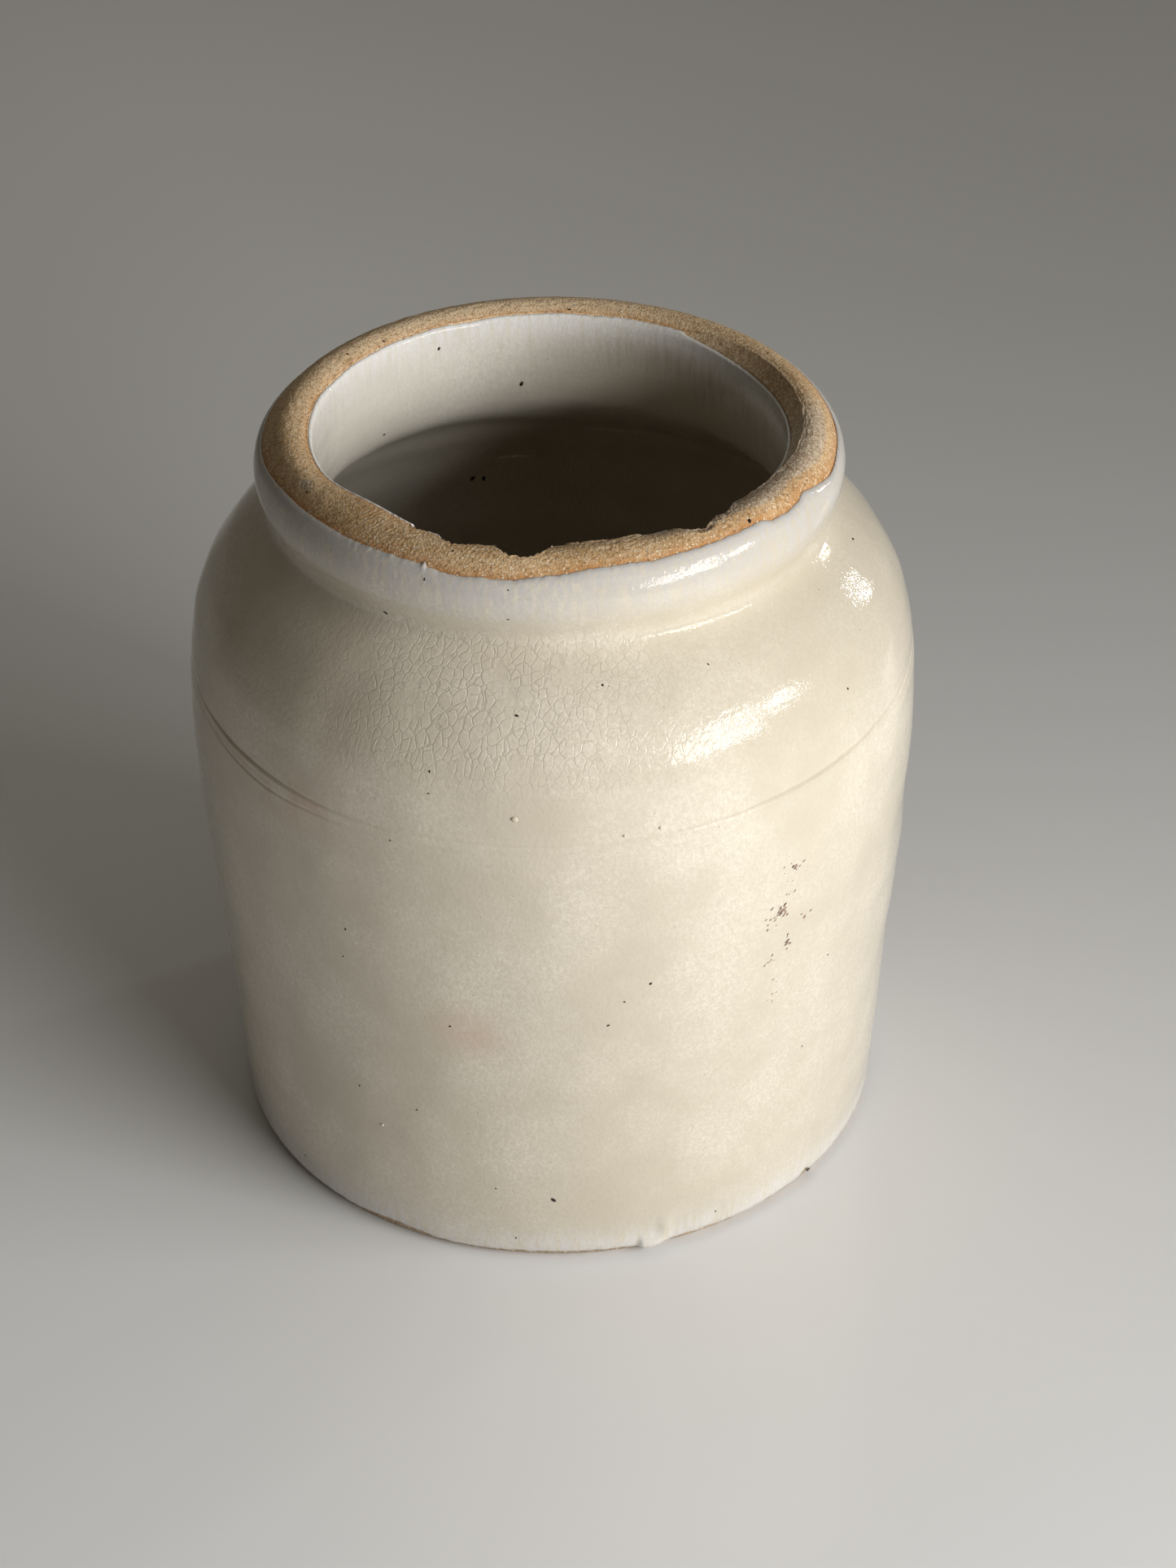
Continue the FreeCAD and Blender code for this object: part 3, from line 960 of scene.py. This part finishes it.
def score_depth(azimuth, height):
    """The two score lines, deeper at the sides: relief, depth of cut, and the band between."""
    level = SCORE_HEIGHT - SCORE_LEAN * np.cos(np.radians(azimuth - SCORE_LOWEST))
    wider = 1.1 * hill(turned_by(azimuth, -52), 0, 20)
    upper = height - level - SCORE_GAP / 2
    lower = height - level + SCORE_GAP / 2 + wider
    left = hill(turned_by(azimuth, -52), 0, 34)
    right = hill(turned_by(azimuth, 44), 0, 48)
    back = hill(turned_by(azimuth, 180), 0, 100)
    deeper = np.maximum.reduce([left, right, back])
    cut = (0.05 + 0.26 * deeper) * swell(upper, 0, SCORE_WIDTHS[0])
    cut += (0.02 + 0.20 * np.maximum(left, 0.8 * back)) * swell(lower, 0, SCORE_WIDTHS[1])
    ridge = 0.14 * np.maximum(left, right) * swell(upper, -0.75, RIDGE_WIDTH)
    for centre, drop in SHORT_RIDGES:
        across = turned_by(azimuth, centre)
        bow = upper + drop - 0.02 * across**2
        ridge = ridge + 0.10 * hill(across, 0, 5.0) * swell(bow, 0, RIDGE_WIDTH)
    between = left * swell((upper + lower) / 2, 0, 1.5)
    return cut - ridge, cut, between


def outer_glaze_piece(shader):
    """The outer coat, from the foot line to the rim line."""
    score = clay.nearest(BELLY, SCORE_HEIGHT)
    foot = AT_FOOT - 0.8
    base = stations(
        (foot, foot + 12, 16),
        (foot + 12, score - 5, 34),
        (score - 5, score + 5, 42),
        (score + 5, AT_RIM_LINE - 2.4, 30),
        (AT_RIM_LINE - 2.4, AT_RIM_LINE, 11),
    )[:, None]
    lean = -SCORE_LEAN * np.cos(np.radians(AZIMUTH - SCORE_LOWEST))
    along = base + lean * hill(base, score, 26)
    along += foot_line_shift(AZIMUTH) * (1 - smooth(base, foot, foot + 9))
    along += rim_line_shift(AZIMUTH) * smooth(base, AT_RIM_LINE - 8, AT_RIM_LINE)
    from_low = along - along[0]
    from_high = along[-1] - along
    height = clay.place(along)[1]
    thick = coat_thickness(from_low, from_high)
    drip = DRIP * plateau(AZIMUTH, *DRIP_SPAN) * hill(height, *DRIP_HEIGHT)
    drip += SMALL_DRIP * hill(AZIMUTH, *SMALL_DRIP_SPAN) * hill(height, *SMALL_DRIP_HEIGHT)
    scoring, cut, between = score_depth(AZIMUTH, height)
    thick = thick + drip * smooth(from_low, 0, 1.2) - scoring
    outer = clay.place(along, outer_shape(AZIMUTH, along) + thick)
    back = stations((0.0, 0.72, 9), (0.72, 1.0, 14))[::-1, None]
    hidden = along[0] + 0.3 + back * (along[-1] - along[0] - 0.6)
    inner = clay.place(hidden, outer_shape(AZIMUTH, hidden) - 0.12)
    radius = np.concatenate([outer[0], inner[0]])
    level = np.concatenate([outer[1], inner[1]])
    milk = 0.4 * np.exp(-from_high / 2.5) + 0.65 * np.exp(-((from_high / 9.5) ** 4))
    milk += 0.95 * swell(from_low, 0, 6.5)
    spot = hill(turned_by(AZIMUTH, -9), 0, 54)
    spot = spot * smooth(height, 121, 135) * (1 - smooth(height, 151, 156))
    warm = hill(turned_by(AZIMUTH, -46), 0, 20) * hill(height, 114, 14)
    warm += hill(turned_by(AZIMUTH, -14), 0, 10) * hill(height, 66, 10) + 0.9 * between
    values = {"thick": milk, "crazed": spot, "blush_and_shade": warm, "dull": 0 * milk}
    values["scored"] = (cut / SCORE_DEEPEST) ** 2
    # Painted shade over the right of the shoulder, from about 112 mm up
    values["painted_shoulder_shade"] = hill(turned_by(AZIMUTH, 62), 0, 50) * smooth(height, 112, 132)
    values = {key: np.concatenate([grid, 0 * inner[0]]) for key, grid in values.items()}
    return mesh_piece(
        "outer_glaze_coat", spun(radius, level), True, values, shader, "outer_glaze"
    )


def liner_piece(shader):
    """The liner coat, from the lip or the foot of the break to the floor's middle."""
    reach, run = break_at(AZIMUTH)[:2]
    start = AT_LIP + np.maximum(lip_line_shift(AZIMUTH), np.where(reach > 0.5, run + 0.1, -9))
    top = start + stations((0.0, 1.0, 14))[:, None] ** 1.5 * (AT_NECK_END - 8 - start)
    rest = stations(
        (AT_NECK_END - 8, AT_NECK_END + 28, 30),
        (AT_NECK_END + 28, AT_END - 75, 34),
        (AT_END - 75, AT_END - 50, 14),
        (AT_END - 50, AT_END - 0.8, 28),
    )[1:, None] + 0 * AZIMUTH
    along = np.concatenate([top, rest])
    depth = along - start
    blunt = np.where(reach > 0.5, 0.12, 0.7)
    rounding = np.sqrt(np.clip(1 - (1 - np.clip(depth / blunt, 0, 1)) ** 2, 0, 1))
    thick = (GLAZE - 0.02) * rounding - 0.08 * (1 - rounding)
    outer = clay.place(along, inner_shape(AZIMUTH, along) + thick)
    back = stations((0.0, 1.0, 24))[::-1, None]
    hidden = along[0] + 0.3 + back * (AT_END - 1.2 - along[0] - 0.3)
    inner = clay.place(hidden, inner_shape(AZIMUTH, hidden) - 0.15)
    radius = np.concatenate([inner[0], outer[0]])
    level = np.concatenate([inner[1], outer[1]])
    milk = np.exp(-depth / 6.0)
    spot = smooth(outer[1], 148, 156) * 0.22
    # Painted shade: the liner is darkened below the neck, except on the left where the light falls
    # in, and over the right and back from just below the lip
    lit = hill(turned_by(AZIMUTH, -140), 0, 40) * smooth(outer[1], 85, 110)
    warm = 0.95 * (1 - smooth(outer[1], 128, 148)) * (1 - lit)
    warm = np.maximum(warm, 0.95 * hill(turned_by(AZIMUTH, 130), 0, 85) * smooth(depth, 2, 8))
    values = {"thick": milk, "crazed": spot, "blush_and_shade": warm, "painted_shoulder_shade": 0 * milk}
    values["dull"] = 0.3 * smooth(depth, 13, 25)
    values = {key: np.concatenate([0 * inner[0], grid]) for key, grid in values.items()}
    return mesh_piece(
        "liner_glaze_coat", spun(radius, level), False, values, shader, "liner_glaze"
    )


def spots(name, places, shader, slot, longest=1.35, ragged=0.14, turns=(0, math.pi)):
    """Small rounded flakes set in a surface: (azimuth, along, offset, width, height) for each."""
    chance = np.random.default_rng(len(places))
    form = bmesh.new()
    for azimuth, along, offset, width, proud in places:
        radius, height = clay.place(along, offset)
        out_r = np.interp(along, clay.along, clay.normals[:, 0])
        out_z = np.interp(along, clay.along, clay.normals[:, 1])
        a = math.radians(azimuth)
        away = Vector((math.sin(a), -math.cos(a), 0.0))
        out = away * float(out_r) + Vector((0.0, 0.0, float(out_z)))
        round_pot = Vector((math.cos(a), math.sin(a), 0.0))
        up_wall = out.cross(round_pot)
        centre = away * float(radius) + Vector((0.0, 0.0, float(height)))
        turn = chance.uniform(*turns)
        longer = width / 2 * chance.uniform(1.0, longest)
        shorter = width / 2 * chance.uniform(0.65, 0.95)
        made = bmesh.ops.create_icosphere(form, subdivisions=2, radius=1.0)["verts"]
        for vertex in made:
            x, y, z = vertex.co * chance.uniform(1 - ragged, 1 + ragged)
            u = longer * x * math.cos(turn) - shorter * y * math.sin(turn)
            v = longer * x * math.sin(turn) + shorter * y * math.cos(turn)
            vertex.co = (centre + round_pot * u + up_wall * v + out * (proud * z)) * MM
    mesh = bpy.data.meshes.new(name)
    bmesh.ops.recalc_face_normals(form, faces=form.faces)
    form.to_mesh(mesh)
    form.free()
    mesh.polygons.foreach_set("use_smooth", [True] * len(mesh.polygons))
    mesh.materials.append(shader)
    piece = bpy.data.objects.new(name, mesh)
    bpy.context.scene.collection.objects.link(piece)
    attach(piece, "root")
    return piece


def speck_pieces():
    """Iron specks in the glaze, the rim and inside, and rust flecks."""
    specks = []
    for azimuth, height, width in OUTER_SPECKS:
        along = outside_at(height)
        specks.append((azimuth, along, outer_shape(azimuth, along) + GLAZE, width, SPECK_RISE))
    for azimuth, radius, width in RIM_SPECKS:
        along = crown_at(radius)
        specks.append((azimuth, along, 0.35 * outer_shape(azimuth, along), width, CROWN_SPECK_RISE))
    for azimuth, height, width in INNER_SPECKS:
        along = inside_at(height)
        specks.append((azimuth, along, inner_shape(azimuth, along) + GLAZE, width, INNER_SPECK_RISE))
    spots("iron_specks", specks, iron(), "bare_stoneware")
    chance = np.random.default_rng(7)
    flecks = []
    for azimuth, height, across, tall, width, count in RUST_CLUSTERS:
        for _ in range(count):
            where = azimuth + across * chance.normal()
            along = outside_at(height + tall * chance.normal())
            size = width * chance.uniform(0.4, 1.4)
            out = outer_shape(where, along) + GLAZE - 0.01
            flecks.append((where, along, out, size, FLECK_RISE))
    spots("rust_flecks", flecks, rust(), "outer_glaze", longest=2.6, ragged=0.3, turns=(0.3, 0.9))


def pimple_piece(shader):
    """Pale pimples in the outer glaze, where grit stands up under it."""
    places = []
    for azimuth, height, width in PIMPLES:
        along = outside_at(height)
        out = outer_shape(azimuth, along) + GLAZE - 0.1
        places.append((azimuth, along, out, width, PIMPLE_RISE))
    spots("glaze_pimples", places, shader, "outer_glaze")


# ---------------------------------------------------------------------------- the stage


def area_light(name, centre, facing, width, height, power, colour, lights="all"):
    """A rectangular light facing along a direction, that lights all, only shines or only fills."""
    data = bpy.data.lights.new(name, "AREA")
    data.shape = "RECTANGLE"
    data.size = width
    data.size_y = height
    data.energy = power
    data.color = colour
    light = bpy.data.objects.new(name, data)
    light.location = centre
    light.rotation_mode = "QUATERNION"
    light.rotation_quaternion = Vector(facing).to_track_quat("-Z", "Y")
    light.visible_glossy = lights != "fill"
    light.visible_diffuse = lights != "shine"
    bpy.context.scene.collection.objects.link(light)


def window():
    """Panes of daylight beside the pot: the whole window's light, and the panes it mirrors."""
    for kind, glow, side, panes in (
        ("fill", WINDOW_GLOW, WINDOW_SIDE, WINDOW_PANES),
        ("shine", SHINE_GLOW, WINDOW_SIDE - 0.01, SHINE_PANES),
    ):
        for number, (near, far, low, high) in enumerate(panes):
            centre = (side, (near + far) / 2, (low + high) / 2)
            width = abs(far - near)
            height = high - low
            power = glow * width * height
            name = f"{kind}_pane_{number}"
            area_light(name, centre, (-1, 0, 0), width, height, power, DAYLIGHT, kind)


def stage():
    """Pale polished floor, lighter to the left and darker to the right by painted light and shade;
    the window, a small light behind the pot and a dim warm room.
    """
    bpy.ops.mesh.primitive_plane_add(size=FLOOR_SIZE, location=(0, 0, 0))
    floor = bpy.context.object
    floor.name = "floor"
    shader = Shader("floor_painted_light")
    # Painted light and shade: the floor is lighter to the left and darker to the right
    across = shader.node("SeparateXYZ", {0: shader.place}).outputs[0]
    across = shader.math("ADD", across, shader.math("MULTIPLY", shader.noise(180, 3), 60.0))
    pale = shader.mix(shader.fade(across, -170, 250), FLOOR_LEFT_PAINTED_LIGHT, FLOOR_RIGHT_PAINTED_SHADE)
    floor.data.materials.append(shader.finish(pale, FLOOR_ROUGHNESS, CLAY_IOR))
    window()
    a = math.radians(SIDE_AZIMUTH)
    e = math.radians(SIDE_RISE)
    away = Vector((math.sin(a) * math.cos(e), -math.cos(a) * math.cos(e), math.sin(e)))
    side = Vector((0, 0, WINDOW_AIM)) + away * SIDE_DISTANCE
    along = Vector((math.cos(a), math.sin(a), 0))
    for number, (across, up) in enumerate(SIDE_PANES):
        centre = side + along * across + Vector((0, 0, up))
        area_light(f"side_pane_{number}", centre, -away, *SIDE_SIZE, SIDE_POWER, DAYLIGHT)
    area_light("back_fill", BACK_PLACE, -Vector(BACK_PLACE), *BACK_SIZE, BACK_POWER, FILL_COLOUR)
    area_light("top_fill", TOP_PLACE, (0, 0, -1), *TOP_SIZE, TOP_POWER, FILL_COLOUR)
    world = bpy.data.worlds.new("room")
    world.use_nodes = True
    background = world.node_tree.nodes["Background"]
    background.inputs[0].default_value = (*ROOM_COLOUR, 1.0)
    background.inputs[1].default_value = ROOM_GLOW
    bpy.context.scene.world = world
    bpy.context.scene.view_settings.view_transform = "Standard"


def camera():
    """The photograph's view: a long lens looking down at the pot."""
    pitch = math.radians(CAMERA_PITCH)
    yaw = math.radians(CAMERA_YAW)
    roll = math.radians(CAMERA_ROLL)
    aim = Vector((math.sin(yaw) * math.cos(pitch), math.cos(yaw) * math.cos(pitch), -math.sin(pitch)))
    data = bpy.data.cameras.new("camera")
    data.sensor_width = SENSOR
    data.lens = CAMERA_LENS
    data.clip_start = 0.01
    viewer = bpy.data.objects.new("camera", data)
    viewer.location = CAMERA_PLACE
    viewer.rotation_mode = "QUATERNION"
    viewer.rotation_quaternion = aim.to_track_quat("-Z", "Y") @ Quaternion((0, 0, 1), roll)
    bpy.context.scene.collection.objects.link(viewer)
    bpy.context.scene.camera = viewer


clay_piece(bare_clay())
outer = glaze(
    "outer_glaze",
    cream=(0.85, 0.785, 0.665),
    deep=(0.67, 0.605, 0.485),
    blush_and_shade=(0.68, 0.52, 0.41),
    rim_milk=(0.57, 0.565, 0.58),
    patchy=(0.3, 0.62),
)
outer_glaze_piece(outer)
# The liner's blush colour is painted shade, dark brown
liner = glaze(
    "liner_glaze",
    cream=(0.88, 0.845, 0.755),
    deep=(0.72, 0.68, 0.59),
    blush_and_shade=(0.36, 0.275, 0.175),
    rim_milk=(0.84, 0.84, 0.855),
    patchy=(0.1, 0.3),
)
liner_piece(liner)
speck_pieces()
pimple_piece(outer)
stage()
camera()
